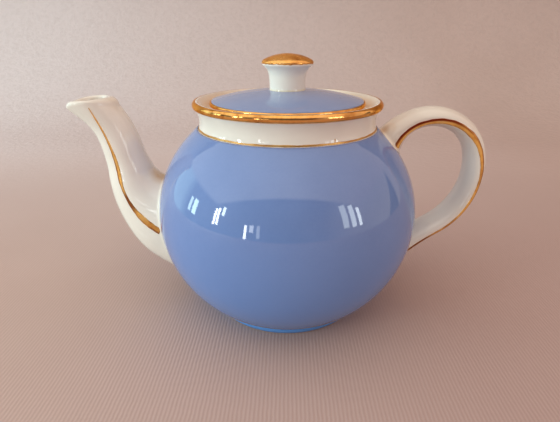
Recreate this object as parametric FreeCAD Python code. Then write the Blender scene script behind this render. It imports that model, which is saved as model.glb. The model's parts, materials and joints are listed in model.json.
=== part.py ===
import FreeCAD, Part
import math
import os

# Driving dimensions of the teapot, in millimetres and degrees
# The origin is on the axis of the pot, in the plane of the foot ring
# The spout points along -X and the handle along +X

# Round body
body_radius = 75.0
widest_height = 59.0
shoulder_height = 109.2
wall_thickness = 4.5
floor_thickness = 5.0

# Foot ring
foot_radius = 45.0
foot_height = 3.6
foot_overhang = 0.4
foot_ring_width = 4.5
foot_edge_round = 0.8
base_recess = 2.0

# Collar and rolled rim
collar_height = 14.7
collar_foot_inset = 0.4
collar_waist_inset = 1.1
rim_bead_radius = 2.0
bead_start_angle = -65.0
dish_start_angle = 110.0
dish_width = 6.4
dish_sag = 0.7

# Lid seat inside the rim
seat_depth = 4.5
seat_width = 2.4
seat_ledge_thickness = 3.6

# Lid
lid_radius = 42.4
lid_side_clearance = 1.0
lid_edge_height = 3.8
lid_edge_round = 0.9
lid_dome_rise = 5.5
lid_thickness = 4.0
flange_depth = 11.0
flange_thickness = 3.4
flange_clearance = 0.8
vent_diameter = 3.5
vent_distance = 26.0
vent_direction = 90.0

# Knob on the lid
knob_stem_radius = 9.8
knob_neck_radius = 10.6
knob_neck_height = 7.6
knob_flare_radius = 14.0
knob_flare_height = 13.8
knob_dome_rise = 5.2
knob_edge_round = 3.0
knob_flare_bow = 0.8

# Spout: a line out of the body, a bend upwards, a bend outwards and a straight tip
spout_root_depth = 30.0
spout_root_height = 42.6
spout_root_rise = 23.5
spout_root_length = 26.0
spout_lower_bend_radius = 38.5
spout_lower_bend_turn = 57.5
spout_upper_bend_radius = 85.0
spout_upper_bend_turn = 22.0
spout_tip_length = 17.5
spout_mouth_trim = 5.13
spout_mouth_slope = 10.0
spout_wall = 3.6
spout_joint_depth = 61.0
spout_joint_width = 46.0
spout_heel_depth = 57.0
spout_heel_width = 41.0
spout_knee_depth = 40.7
spout_knee_width = 33.0
spout_waist_depth = 23.8
spout_waist_width = 25.5
spout_tip_depth = 26.4
spout_tip_width = 26.4
# Share of the spout's path at which each of these sections stands
spout_joint_share = 0.12
spout_heel_share = 0.26
spout_knee_share = 0.43
spout_waist_share = 0.63
spout_throat_share = 0.78
spout_tip_share = 0.92

# Strainer holes pierced through the body behind the spout
strainer_hole_diameter = 5.0
strainer_pitch = 8.6
strainer_margin = 2.0

# Handle: an oval strap on a line out of the body, two arcs and a line back to it
handle_upper_drop = 7.8
handle_root_rise = 60.0
handle_top_radius = 26.8
handle_top_turn = 134.5
handle_back_radius = 41.5
handle_back_turn = 72.5
handle_buried_length = 22.0
handle_width = 19.8
handle_thickness = 10.8
handle_root_width = 23.0
handle_root_thickness = 16.0
handle_flare_length = 20.0

# Fired coats and gilding
glaze_thickness = 0.4
glaze_foot_gap = 0.7
gilt_thickness = 0.25
rim_gilt_end_angle = 80.0
shoulder_line_width = 1.1
lid_line_lap = 0.2
spout_stripe_root_side = 0.1
spout_stripe_middle_side = 0.18
spout_stripe_tip_side = -0.15
spout_stripe_root_width = 3.6
spout_stripe_middle_width = 2.2
spout_stripe_tip_width = 0.9
handle_stripe_width = 2.4

# Values worked out from the dimensions above
clay_radius = body_radius - glaze_thickness
base_radius = foot_radius + foot_overhang
seat_outer_radius = lid_radius + lid_side_clearance
neck_bore_radius = lid_radius - seat_width
rim_radius = seat_outer_radius + dish_width
rim_height = shoulder_height + collar_height
bead_height = rim_height - rim_bead_radius
seat_height = rim_height - seat_depth
shoulder_radius = rim_radius - collar_foot_inset
collar_waist_radius = rim_radius - collar_waist_inset
floor_height = base_recess + floor_thickness
collar_bore_radius = collar_waist_radius - wall_thickness
flange_radius = neck_bore_radius - flange_clearance
flange_bore_radius = flange_radius - flange_thickness
lid_edge_top = seat_height + lid_edge_height
far = 4.0 * body_radius
section_points = 16
seam_angle = 45.0
full_turn = 360.0
half_turn = 180.0
quarter_turn = 90.0


def at(radius, height):
    """Point of a turned profile, on the X side of the axis."""
    return FreeCAD.Vector(radius, 0.0, height)


def line(start, end):
    return Part.LineSegment(start, end).toShape()


def arc(start, middle, end):
    return Part.Arc(start, middle, end).toShape()


def on_circle(radius, height, size, angle):
    """Point of a circle that lies in the profile's plane."""
    return at(radius + size * math.cos(math.radians(angle)), height + size * math.sin(math.radians(angle)))


def circle_arc(radius, height, size, first, last):
    """Arc of a circle that lies in the profile's plane, between two angles."""
    ends = (on_circle(radius, height, size, angle) for angle in (first, (first + last) / 2.0, last))
    return arc(*ends)


def ellipse_radius(half_width, half_height, height):
    """Radius of an upright ellipse at a height above its centre."""
    return half_width * math.sqrt(1.0 - (height / half_height) ** 2)


def ellipse_arc(centre_height, half_width, half_height, low, high):
    """Arc of an upright ellipse on the axis, between two heights above the foot plane."""
    centre = at(0.0, centre_height)
    side = at(half_width, centre_height)
    top = at(0.0, centre_height + half_height)
    first, last = (math.asin((height - centre_height) / half_height) for height in (low, high))
    if half_width >= half_height:
        return Part.ArcOfEllipse(Part.Ellipse(side, top, centre), first, last).toShape()
    quarter = math.pi / 2.0
    return Part.ArcOfEllipse(Part.Ellipse(top, side, centre), quarter - last, quarter - first).toShape()


def turned(edges):
    """Solid of revolution about the vertical axis from a closed run of profile edges."""
    face = Part.Face(Part.Wire(Part.__sortEdges__(edges)))
    solid = face.revolve(FreeCAD.Vector(), FreeCAD.Vector(0, 0, 1), full_turn)
    solid.rotate(FreeCAD.Vector(), FreeCAD.Vector(0, 0, 1), seam_angle)
    return solid


def polyline(*points):
    return [line(start, end) for start, end in zip(points, points[1:])]


# Round body: an upper and a lower half ellipse that share the widest circle
upper_reach = (shoulder_height - widest_height) / math.sqrt(1.0 - (shoulder_radius / clay_radius) ** 2)
lower_reach = (widest_height - foot_height) / math.sqrt(1.0 - (base_radius / clay_radius) ** 2)


def body_edges(growth, low, high):
    """Edges of the round body's profile, moved outwards by growth, between two heights."""
    return [
        ellipse_arc(widest_height, clay_radius + growth, lower_reach + growth, low, widest_height),
        ellipse_arc(widest_height, clay_radius + growth, upper_reach + growth, widest_height, high),
    ]


def body_point(growth, height):
    """Point of the round body's profile, moved outwards by growth, at a height."""
    reach = upper_reach if height > widest_height else lower_reach
    return at(ellipse_radius(clay_radius + growth, reach + growth, height - widest_height), height)


def outer_edges():
    """Outside of the pot's clay, from the foot ring up over the rim to the lid seat."""
    foot_side = at(foot_radius, foot_edge_round)
    foot_top = at(foot_radius, foot_height)
    shoulder = body_point(0.0, shoulder_height)
    collar_top = on_circle(rim_radius, bead_height, rim_bead_radius, bead_start_angle)
    collar_waist = at(collar_waist_radius, (shoulder_height + collar_top.z) / 2.0)
    dish_top = on_circle(rim_radius, bead_height, rim_bead_radius, dish_start_angle)
    seat_corner = at(seat_outer_radius, seat_height)
    dish_middle = (dish_top + seat_corner) * 0.5 - FreeCAD.Vector(0, 0, dish_sag)
    round_centre = foot_radius - foot_edge_round
    return (
        [circle_arc(round_centre, foot_edge_round, foot_edge_round, -90.0, 0.0)]
        + polyline(foot_side, foot_top, body_point(0.0, foot_height))
        + body_edges(0.0, foot_height, shoulder_height)
        + [arc(shoulder, collar_waist, collar_top)]
        + [circle_arc(rim_radius, bead_height, rim_bead_radius, bead_start_angle, dish_start_angle)]
        + [arc(dish_top, dish_middle, seat_corner)]
    )


def underside_edges():
    """Underside of the pot, from the axis out to the foot ring's outer rounding."""
    ring_inner = foot_radius - foot_ring_width
    round_centre = foot_radius - foot_edge_round
    return polyline(
        at(0.0, base_recess),
        at(ring_inner - base_recess, base_recess),
        at(ring_inner, 0.0),
        at(round_centre, 0.0),
    )


def make_pot_volume():
    """Filled outside shape of the clay, used to trim what is luted on to it."""
    top = polyline(at(seat_outer_radius, seat_height), at(0.0, seat_height), at(0.0, base_recess))
    return turned(underside_edges() + outer_edges() + top)


def make_glaze_volume():
    """Filled outside shape of the body under its blue coat."""
    low = glaze_foot_gap
    under = foot_height - glaze_thickness
    inside_ring = foot_radius - foot_ring_width / 2.0
    upper = body_point(glaze_thickness, shoulder_height)
    sides = polyline(
        at(0.0, foot_height),
        at(inside_ring, foot_height),
        at(inside_ring, low),
        at(foot_radius + glaze_thickness, low),
        at(foot_radius + glaze_thickness, under),
        body_point(glaze_thickness, under),
    )
    top = polyline(upper, at(0.0, shoulder_height), at(0.0, foot_height))
    return turned(sides + body_edges(glaze_thickness, under, shoulder_height) + top)


def make_cavity():
    """Inside of the pot below the lid seat: ledge, collar and round body."""
    half_width = clay_radius - wall_thickness
    half_height = upper_reach - wall_thickness
    collar_low = widest_height + half_height * math.sqrt(1.0 - (collar_bore_radius / half_width) ** 2)
    ledge_low = seat_height - seat_ledge_thickness
    slope_low = ledge_low - (collar_bore_radius - neck_bore_radius)
    floor_edge = body_point(-wall_thickness, floor_height)
    neck = polyline(
        at(0.0, floor_height),
        at(0.0, rim_height),
        at(neck_bore_radius, rim_height),
        at(neck_bore_radius, ledge_low),
        at(collar_bore_radius, slope_low),
        at(collar_bore_radius, collar_low),
    )
    floor = [line(floor_edge, at(0.0, floor_height))]
    return turned(neck + body_edges(-wall_thickness, floor_height, collar_low) + floor)


# Paths in the XZ plane: a start point with a heading, then stretches of a length and a turn
def bend(radius, turn):
    """Stretch of a path with a radius and a turn, which is positive to the left."""
    return (radius * math.radians(abs(turn)), turn)


def walk(start, stretches, distance):
    """Place and heading on a path at a distance from its start."""
    x, z, heading = start
    for length, turn in stretches:
        step = min(distance, length)
        angle = math.radians(turn) * step / length
        chord = step if angle == 0.0 else step * math.sin(angle / 2.0) / (angle / 2.0)
        course = math.radians(heading) + angle / 2.0
        x += chord * math.cos(course)
        z += chord * math.sin(course)
        heading += math.degrees(angle)
        distance -= step
    return FreeCAD.Vector(x, 0.0, z), heading


def path_length(stretches):
    return sum(length for length, turn in stretches)


def heading_vector(heading):
    """Direction in the XZ plane along a heading."""
    return FreeCAD.Vector(math.cos(math.radians(heading)), 0.0, math.sin(math.radians(heading)))


def across(heading):
    """Direction in the XZ plane to the left of a heading."""
    return heading_vector(heading + quarter_turn)


def oval(place, heading, depth, width):
    """Closed oval section square to a path: depth in the XZ plane, width along Y."""
    points = []
    for step in range(section_points):
        turn = 2.0 * math.pi * step / section_points
        along_y = FreeCAD.Vector(0.0, width / 2.0 * math.cos(turn), 0.0)
        points.append(place + along_y + across(heading) * (depth / 2.0 * math.sin(turn)))
    curve = Part.BSplineCurve()
    steps = [float(step) for step in range(section_points + 1)]
    curve.interpolate(Points=points, PeriodicFlag=True, Parameters=steps)
    return Part.Wire(curve.toShape())


def loft(sections):
    return Part.makeLoft(sections, True, False)


# Spout
spout_start = (spout_root_depth - body_radius, spout_root_height, half_turn - spout_root_rise)
spout_path = [
    (spout_root_length, 0.0),
    bend(spout_lower_bend_radius, -spout_lower_bend_turn),
    bend(spout_upper_bend_radius, spout_upper_bend_turn),
    (spout_tip_length, 0.0),
]
spout_throat_depth = (spout_waist_depth + spout_tip_depth) / 2.0
spout_throat_width = (spout_waist_width + spout_tip_width) / 2.0
# Share of the path, depth and width of each section, from inside the body to past the mouth
spout_sections = [
    (0.0, spout_joint_depth, spout_joint_width),
    (spout_joint_share, spout_joint_depth, spout_joint_width),
    (spout_heel_share, spout_heel_depth, spout_heel_width),
    (spout_knee_share, spout_knee_depth, spout_knee_width),
    (spout_waist_share, spout_waist_depth, spout_waist_width),
    (spout_throat_share, spout_throat_depth, spout_throat_width),
    (spout_tip_share, spout_tip_depth, spout_tip_width),
    (1.0, spout_tip_depth, spout_tip_width),
]


def spout_place(share):
    return walk(spout_start, spout_path, share * path_length(spout_path))


def make_spout_loft(growth):
    """The spout's filled shape, moved outwards by growth."""
    sections = []
    for share, depth, width in spout_sections:
        place, heading = spout_place(share)
        sections.append(oval(place, heading, depth + 2.0 * growth, width + 2.0 * growth))
    return loft(sections)


def make_mouth_cutter():
    """Block above the spout's mouth, which slopes down towards the pouring lip."""
    tip = spout_place(1.0)[0]
    block = Part.makeBox(far, far, far, FreeCAD.Vector(-far / 2.0, -far / 2.0, 0.0))
    block.rotate(FreeCAD.Vector(), FreeCAD.Vector(0, 1, 0), -spout_mouth_slope)
    block.translate(tip - FreeCAD.Vector(0.0, 0.0, spout_mouth_trim))
    return block


def make_strainer_holes():
    """Pins on a staggered grid that fits inside the spout's bore at the body."""
    place, heading = spout_place(0.0)
    out = heading_vector(heading)
    inside = place - out * (2.0 * wall_thickness)
    edge = spout_wall + strainer_margin + strainer_hole_diameter / 2.0
    half_depth = spout_heel_depth / 2.0 - edge
    half_width = spout_heel_width / 2.0 - edge
    row_step = strainer_pitch * math.sqrt(3.0) / 2.0
    rows = int(half_depth / row_step)
    columns = int(half_width / strainer_pitch) + 1
    pins = []
    for row in range(-rows, rows + 1):
        for column in range(-columns, columns + 1):
            depth = row * row_step
            width = (column + 0.5 * (row % 2)) * strainer_pitch
            if (depth / half_depth) ** 2 + (width / half_width) ** 2 > 1.0:
                continue
            foot = inside + across(heading) * depth + FreeCAD.Vector(0.0, width, 0.0)
            pins.append(Part.makeCylinder(strainer_hole_diameter / 2.0, body_radius, foot, out))
    return Part.makeCompound(pins)


def make_spout_stripe(spout_volume, coat_volume, side):
    """Leaf-shaped gilt stripe along one side of the spout, which thins towards the tip."""
    # Share of the path, depth of the spout there, width of the stripe and its place on the side
    stations = [
        (spout_joint_share, spout_joint_depth, spout_stripe_root_width, spout_stripe_root_side),
        (spout_heel_share, spout_heel_depth, spout_stripe_root_width, spout_stripe_root_side),
        (spout_knee_share, spout_knee_depth, spout_stripe_root_width, spout_stripe_middle_side),
        (spout_waist_share, spout_waist_depth, spout_stripe_middle_width, spout_stripe_middle_side),
        (spout_tip_share, spout_tip_depth, spout_stripe_tip_width, spout_stripe_tip_side),
    ]
    edges = {1.0: [], -1.0: []}
    for share, depth, width, place_on_side in stations:
        place, heading = spout_place(share)
        middle = place + across(heading) * (place_on_side * depth / 2.0)
        for hand in edges:
            edges[hand].append(middle + across(heading) * (hand * width / 2.0))
    outer = Part.BSplineCurve()
    outer.interpolate(edges[1.0])
    inner = Part.BSplineCurve()
    inner.interpolate(edges[-1.0])
    ends = [line(edges[1.0][end], edges[-1.0][end]) for end in (0, -1)]
    outline = Part.Wire(Part.__sortEdges__([outer.toShape(), inner.toShape()] + ends))
    prism = Part.Face(outline).extrude(FreeCAD.Vector(0.0, side * far, 0.0))
    skin = make_spout_loft(gilt_thickness).cut(make_mouth_cutter())
    return skin.common(prism).cut(spout_volume).cut(coat_volume)


# Handle, whose return line runs from the back arc to wherever the body's surface is
def run_to_body(place, heading):
    """Distance from a place outside the round body, along a heading, to the body's surface."""
    course = heading_vector(heading)
    for reach in (lower_reach, upper_reach):
        lift = place.z - widest_height
        square = (course.x / clay_radius) ** 2 + (course.z / reach) ** 2
        cross = place.x * course.x / clay_radius ** 2 + lift * course.z / reach ** 2
        rest = (place.x / clay_radius) ** 2 + (lift / reach) ** 2 - 1.0
        distance = (-cross - math.sqrt(cross ** 2 - square * rest)) / square
        if lift + course.z * distance <= 0.0:
            break
    return distance


handle_joint = body_point(0.0, shoulder_height - handle_upper_drop)
handle_root = handle_joint - heading_vector(handle_root_rise) * handle_buried_length
handle_start = (handle_root.x, handle_root.z, handle_root_rise)
handle_arcs = [
    (handle_buried_length, 0.0),
    bend(handle_top_radius, -handle_top_turn),
    bend(handle_back_radius, -handle_back_turn),
]
handle_return = run_to_body(*walk(handle_start, handle_arcs, path_length(handle_arcs)))
handle_path = handle_arcs + [(handle_return + handle_buried_length, 0.0)]
handle_steps = 20


def handle_size(distance):
    """Thickness and width of the strap, which swells where it meets the body."""
    shown = min(distance, path_length(handle_path) - distance) - handle_buried_length
    swell = min(1.0, max(0.0, 1.0 - shown / handle_flare_length)) ** 2
    thickness = handle_thickness + swell * (handle_root_thickness - handle_thickness)
    return thickness, handle_width + swell * (handle_root_width - handle_width)


def make_handle_loft(growth):
    """The handle's strap from inside the body round to inside the body, moved outwards by growth."""
    sections = []
    for step in range(handle_steps + 1):
        distance = path_length(handle_path) * step / handle_steps
        place, heading = walk(handle_start, handle_path, distance)
        thickness, width = handle_size(distance)
        sections.append(oval(place, heading, thickness + 2.0 * growth, width + 2.0 * growth))
    return loft(sections)


def make_handle_stripe(handle_volume, coat_volume, side):
    """Gilt line along the middle of one side of the strap."""
    sections = []
    for step in range(handle_steps + 1):
        place, heading = walk(handle_start, handle_path, path_length(handle_path) * step / handle_steps)
        half = across(heading) * (handle_stripe_width / 2.0)
        out = FreeCAD.Vector(0.0, side * handle_root_width, 0.0)
        corners = [place - half, place + half, place + half + out, place - half + out]
        sections.append(Part.makePolygon(corners + corners[:1]))
    band = loft(sections)
    return make_handle_loft(gilt_thickness).common(band).cut(handle_volume).cut(coat_volume)


# Gilt lines and bands on the turned shapes
def make_rim_gilt():
    """Gilding on the outside of the rolled rim, up to its crest."""
    first, last = bead_start_angle, rim_gilt_end_angle
    outside = rim_bead_radius + gilt_thickness
    ends = [
        line(on_circle(rim_radius, bead_height, rim_bead_radius, angle),
             on_circle(rim_radius, bead_height, outside, angle))
        for angle in (first, last)
    ]
    inner = circle_arc(rim_radius, bead_height, rim_bead_radius, first, last)
    outer = circle_arc(rim_radius, bead_height, outside, first, last)
    return turned([inner, outer] + ends)


def make_shoulder_line(pot_volume):
    """Gilt line in the crease between the blue shoulder and the collar."""
    low = shoulder_height
    high = shoulder_height + shoulder_line_width
    outside = body_point(glaze_thickness, shoulder_height).x
    inside = collar_bore_radius
    corners = [at(inside, low), at(outside, low), at(outside, high), at(inside, high)]
    return turned(polyline(*corners, corners[0])).cut(pot_volume)


# Lid: a shallow dome with a locating flange below it
dome_edge_radius = lid_radius - lid_edge_round
dome_radius = (dome_edge_radius ** 2 + lid_dome_rise ** 2) / (2.0 * lid_dome_rise)
dome_centre = lid_edge_top + lid_dome_rise - dome_radius


def dome_point(growth, radius):
    """Point of the lid's dome, moved outwards by growth, at a distance from the axis."""
    return at(radius, dome_centre + math.sqrt((dome_radius + growth) ** 2 - radius ** 2))


def dome_arc(growth, inner, outer):
    middle = (inner + outer) / 2.0
    return arc(dome_point(growth, inner), dome_point(growth, middle), dome_point(growth, outer))


def make_vent():
    """Pin for the steam vent, through the lid behind the knob."""
    angle = math.radians(vent_direction)
    foot = FreeCAD.Vector(vent_distance * math.cos(angle), vent_distance * math.sin(angle), seat_height)
    return Part.makeCylinder(vent_diameter / 2.0, far, foot)


def make_lid():
    """White lid with a rounded edge, a flat rest and a locating flange."""
    under = dome_point(-lid_thickness, flange_bore_radius)
    crown_under = dome_point(-lid_thickness, 0.0)
    flange_low = seat_height - flange_depth
    edge_top = dome_point(0.0, dome_edge_radius)
    edge_side = at(lid_radius, edge_top.z - lid_edge_round)
    outline = (
        [dome_arc(0.0, 0.0, dome_edge_radius)]
        + [circle_arc(dome_edge_radius, edge_side.z, lid_edge_round, 0.0, 90.0)]
        + polyline(
            edge_side,
            at(lid_radius, seat_height),
            at(flange_radius, seat_height),
            at(flange_radius, flange_low),
            at(flange_bore_radius, flange_low),
            under,
        )
        + [dome_arc(-lid_thickness, 0.0, flange_bore_radius), line(crown_under, dome_point(0.0, 0.0))]
    )
    return turned(outline).cut(make_vent())


def make_lid_glaze():
    """Blue coat on the lid, from the knob's stem out to the gilt edge."""
    inner = knob_stem_radius
    outer = dome_edge_radius - lid_line_lap
    ends = [line(dome_point(0.0, radius), dome_point(glaze_thickness, radius)) for radius in (inner, outer)]
    faces = [dome_arc(growth, inner, outer) for growth in (0.0, glaze_thickness)]
    return turned(faces + ends).cut(make_vent())


def make_lid_line(lid):
    """Gilt line on the rounded edge of the lid."""
    inner = dome_edge_radius - lid_line_lap
    outside = lid_edge_round + gilt_thickness
    centre_height = dome_point(0.0, dome_edge_radius).z - lid_edge_round
    top = at(dome_edge_radius, centre_height + outside)
    side = at(dome_edge_radius + outside, centre_height)
    rest = polyline(top, dome_point(gilt_thickness, inner), at(inner, centre_height), side)
    return turned([circle_arc(dome_edge_radius, centre_height, outside, 0.0, 90.0)] + rest).cut(lid)


# Knob, whose rounded edge stays lower than its dome
knob_low = dome_point(0.0, knob_stem_radius).z
knob_edge_height = knob_low + knob_flare_height
clay_dome_rise = knob_dome_rise - gilt_thickness
clay_edge_round = min(knob_edge_round, 0.75 * clay_dome_rise)


def knob_dome_edges(growth):
    """Edges of the knob's dome, moved outwards by growth: a rounded edge and a low crown."""
    edge_round = clay_edge_round + growth
    edge_centre = knob_flare_radius - gilt_thickness - clay_edge_round
    spread = edge_centre ** 2 + clay_dome_rise ** 2 - clay_edge_round ** 2
    crown_round = spread / (2.0 * (clay_dome_rise - clay_edge_round)) + growth
    crown_centre = knob_edge_height + clay_dome_rise + growth - crown_round
    tilt = math.degrees(math.atan2(knob_edge_height - crown_centre, edge_centre))
    return [
        circle_arc(edge_centre, knob_edge_height, edge_round, 0.0, tilt),
        circle_arc(0.0, crown_centre, crown_round, tilt, 90.0),
    ]


def make_knob():
    """White knob: a stem that widens upwards and flares out under a low dome."""
    axis_low = at(0.0, seat_height)
    neck = at(knob_neck_radius, knob_low + knob_neck_height)
    flare = at(knob_flare_radius - gilt_thickness, knob_edge_height)
    stem = polyline(axis_low, at(knob_stem_radius, seat_height), at(knob_stem_radius, knob_low), neck)
    chord = flare - neck
    hollow = at(-chord.z, chord.x).normalize() * knob_flare_bow
    bow = (neck + flare) * 0.5 + hollow
    crown = at(0.0, knob_edge_height + clay_dome_rise)
    outline = stem + [arc(neck, bow, flare)] + knob_dome_edges(0.0) + [line(crown, axis_low)]
    return turned(outline).cut(make_lid_blank())


def make_lid_blank():
    """All that lies below the lid's dome, used to trim the knob's foot."""
    edge = dome_point(0.0, dome_edge_radius)
    below = polyline(edge, at(dome_edge_radius, 0.0), at(0.0, 0.0), dome_point(0.0, 0.0))
    return turned([dome_arc(0.0, 0.0, dome_edge_radius)] + below)


def make_knob_cap():
    """Gilding over the knob's dome."""
    crown = at(0.0, knob_edge_height + knob_dome_rise)
    edge = at(knob_flare_radius, knob_edge_height)
    lift = FreeCAD.Vector(0.0, 0.0, gilt_thickness)
    inset = FreeCAD.Vector(gilt_thickness, 0.0, 0.0)
    ends = [line(crown - lift, crown), line(edge - inset, edge)]
    return turned(knob_dome_edges(0.0) + knob_dome_edges(gilt_thickness) + ends)


def build():
    """Every piece of the teapot by its node's name."""
    pot_volume = make_pot_volume()
    glaze_volume = make_glaze_volume()
    spout_loft = make_spout_loft(0.0).cut(make_mouth_cutter())
    handle_loft = make_handle_loft(0.0)
    lid = make_lid()
    spout = spout_loft.cut(pot_volume).cut(make_spout_loft(-spout_wall))
    handle = handle_loft.cut(pot_volume)
    return {
        "pot_body": pot_volume.cut(make_cavity()).cut(make_strainer_holes()),
        "body_blue_glaze": glaze_volume.cut(pot_volume).cut(spout_loft).cut(handle_loft),
        "spout": spout,
        "handle": handle,
        "rim_gilt_band": make_rim_gilt(),
        "shoulder_gilt_line": make_shoulder_line(pot_volume).cut(handle_loft),
        "spout_gilt_stripe_front": make_spout_stripe(spout_loft, glaze_volume, -1.0),
        "spout_gilt_stripe_back": make_spout_stripe(spout_loft, glaze_volume, 1.0),
        "handle_gilt_stripe_front": make_handle_stripe(handle_loft, glaze_volume, -1.0),
        "handle_gilt_stripe_back": make_handle_stripe(handle_loft, glaze_volume, 1.0),
        "lid": lid,
        "lid_blue_glaze": make_lid_glaze(),
        "lid_knob": make_knob(),
        "lid_gilt_line": make_lid_line(lid),
        "knob_gilt_cap": make_knob_cap(),
    }


os.makedirs("parts", exist_ok=True)
for name, shape in build().items():
    solids = shape.Solids
    print(name, "solids", len(solids), "valid", shape.isValid(), "volume", round(shape.Volume, 2))
    piece = solids[0] if len(solids) == 1 else Part.makeCompound(solids)
    piece.exportStep(os.path.join("parts", name + ".step"))
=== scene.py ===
import json
from math import acos, asin, atan2, ceil, cos, degrees, pi, radians, sin, sqrt, tan

import bmesh
import bpy
import numpy as np
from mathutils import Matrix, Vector


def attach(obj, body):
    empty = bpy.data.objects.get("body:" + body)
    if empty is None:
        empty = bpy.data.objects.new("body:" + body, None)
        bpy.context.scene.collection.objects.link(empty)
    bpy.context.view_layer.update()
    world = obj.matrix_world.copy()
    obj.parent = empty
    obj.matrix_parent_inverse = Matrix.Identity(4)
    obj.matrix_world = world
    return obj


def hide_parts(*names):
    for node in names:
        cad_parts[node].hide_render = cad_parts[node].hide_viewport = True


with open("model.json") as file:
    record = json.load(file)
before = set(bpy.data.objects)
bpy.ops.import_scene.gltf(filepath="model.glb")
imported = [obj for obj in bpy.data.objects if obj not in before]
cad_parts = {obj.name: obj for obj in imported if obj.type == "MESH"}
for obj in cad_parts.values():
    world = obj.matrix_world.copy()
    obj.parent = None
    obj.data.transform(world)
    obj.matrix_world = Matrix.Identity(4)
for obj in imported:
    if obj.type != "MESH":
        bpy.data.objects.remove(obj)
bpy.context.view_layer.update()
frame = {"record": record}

# Shapes are worked out in millimetres and turned into metres as each mesh is made
MM = 0.001
FULL_TURN = 2.0 * pi
TURN_SEGMENTS = 240
KNOB_SEGMENTS = 128
TUBE_SEGMENTS = 96
PIN_SEGMENTS = 36
LONGEST_STEP = 2.0
SHORTEST_EDGE = 0.004
SHARP_ANGLE = radians(35.0)
# Turned profiles stop short of the axis, and a cap closes them
AXIS_GAP = 0.5

# Round body, foot ring, collar and rim
CLAY_RADIUS = 74.6
WIDEST_HEIGHT = 59.0
SHOULDER_HEIGHT = 109.2
WALL = 4.5
FLOOR_HEIGHT = 7.0
FLOOR_CORNER = 6.0
FLOOR_ROUND = 4.0
FOOT_RADIUS = 45.0
FOOT_HEIGHT = 3.6
FOOT_OVERHANG = 0.4
FOOT_RING_WIDTH = 4.5
FOOT_EDGE_ROUND = 0.8
FOOT_INNER_ROUND = 0.6
BASE_RECESS = 2.0
BASE_ROUND = 1.2
RIM_RADIUS = 49.8
RIM_BEAD_RADIUS = 2.0
BEAD_HEIGHT = 121.9
BEAD_START = -65.0
DISH_START = 110.0
DISH_SAG = 0.7
SHOULDER_RADIUS = 49.4
COLLAR_WAIST_RADIUS = 48.7
COLLAR_BORE_ROUND = 1.5
SEAT_HEIGHT = 119.4
SEAT_RADIUS = 43.4
SEAT_ROUND = 0.5
NECK_BORE_RADIUS = 40.0
NECK_ROUND = 0.9
LEDGE_THICKNESS = 3.6
BASE_RADIUS = FOOT_RADIUS + FOOT_OVERHANG
COLLAR_BORE_RADIUS = COLLAR_WAIST_RADIUS - WALL
UPPER_REACH = (SHOULDER_HEIGHT - WIDEST_HEIGHT) / sqrt(1.0 - (SHOULDER_RADIUS / CLAY_RADIUS) ** 2)
LOWER_REACH = (WIDEST_HEIGHT - FOOT_HEIGHT) / sqrt(1.0 - (BASE_RADIUS / CLAY_RADIUS) ** 2)

# Lid and knob
LID_RADIUS = 42.4
LID_EDGE_ROUND = 0.9
LID_EDGE_HEIGHT = 3.8
LID_DOME_RISE = 5.5
LID_THICKNESS = 4.0
LID_UNDER_CORNER = 4.0
LID_UNDER_ROUND = 2.0
FLANGE_RADIUS = 39.2
FLANGE_BORE_RADIUS = 35.8
FLANGE_DEPTH = 11.0
FLANGE_ROUND = 1.2
VENT_RADIUS = 1.75
VENT_DISTANCE = 26.0
VENT_LENGTH = 20.0
KNOB_STEM_RADIUS = 9.8
KNOB_FLARE_RADIUS = 14.0
KNOB_FLARE_HEIGHT = 13.8
KNOB_DOME_RISE = 5.2
KNOB_EDGE_ROUND = 2.3
DOME_EDGE_RADIUS = LID_RADIUS - LID_EDGE_ROUND
DOME_RADIUS = (DOME_EDGE_RADIUS ** 2 + LID_DOME_RISE ** 2) / (2.0 * LID_DOME_RISE)
DOME_CENTRE = SEAT_HEIGHT + LID_EDGE_HEIGHT + LID_DOME_RISE - DOME_RADIUS


def bend(radius, turn):
    """Stretch of a path that turns at a radius."""
    return radius * radians(abs(turn)), turn


# Spout and handle paths in the XZ plane: a start, then stretches of a length and a turn in degrees
SPOUT_START = (-45.0, 42.6, radians(156.5))
SPOUT_LENGTH = 114.8
SPOUT_PATH = [(26.0, 0.0), bend(38.5, -57.5), bend(85.0, 22.0), (30.0, 0.0)]
SPOUT_WALL = 3.6
SPOUT_MOUTH = np.array((-110.0, 0.0, 124.0))
SPOUT_MOUTH_SLOPE = radians(3.5)
THROAT_DEPTH = 20.0
# The lip's rise and thickness: at the sides, and what the front and the rear add
LIP_RISE = (1.5, 1.9, 3.8)
LIP_THICKNESS = (2.9, 3.6, 6.4)
LIP_DROOP = 1.7
# Share of the path, reach to the pouring side, reach to the side of the pot, and width along Y
SPOUT_SECTIONS = np.array([
    (0.0, 30.6, 30.5, 46.0), (0.12, 30.4, 30.5, 46.0), (0.26, 27.4, 28.4, 41.0),
    (0.36, 21.5, 22.7, 36.3), (0.45, 17.0, 17.5, 32.2), (0.54, 13.8, 13.2, 28.9),
    (0.63, 12.2, 10.5, 25.5), (0.71, 10.7, 10.9, 25.0), (0.79, 9.2, 11.2, 24.6),
    (0.87, 9.6, 10.7, 24.8), (0.94, 12.4, 9.7, 25.3), (1.0, 14.9, 9.2, 25.8),
    (1.06, 17.2, 8.8, 26.2),
])
SPOUT_LAST_SHARE = 1.06
STRAINER_HOLE_RADIUS = 2.5
STRAINER_PITCH = 8.6
STRAINER_MARGIN = 2.0
STRAINER_HALF_SIZE = (28.5, 20.5)
HANDLE_BURIED = 22.0
HANDLE_RETURN = 22.08
HANDLE_PATH = [
    (HANDLE_BURIED, 0.0), bend(26.8, -134.5), bend(41.5, -72.5), (HANDLE_RETURN + HANDLE_BURIED, 0.0),
]
HANDLE_LENGTH = sum(length for length, turn in HANDLE_PATH)
HANDLE_JOINT_HEIGHT = 101.4
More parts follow.
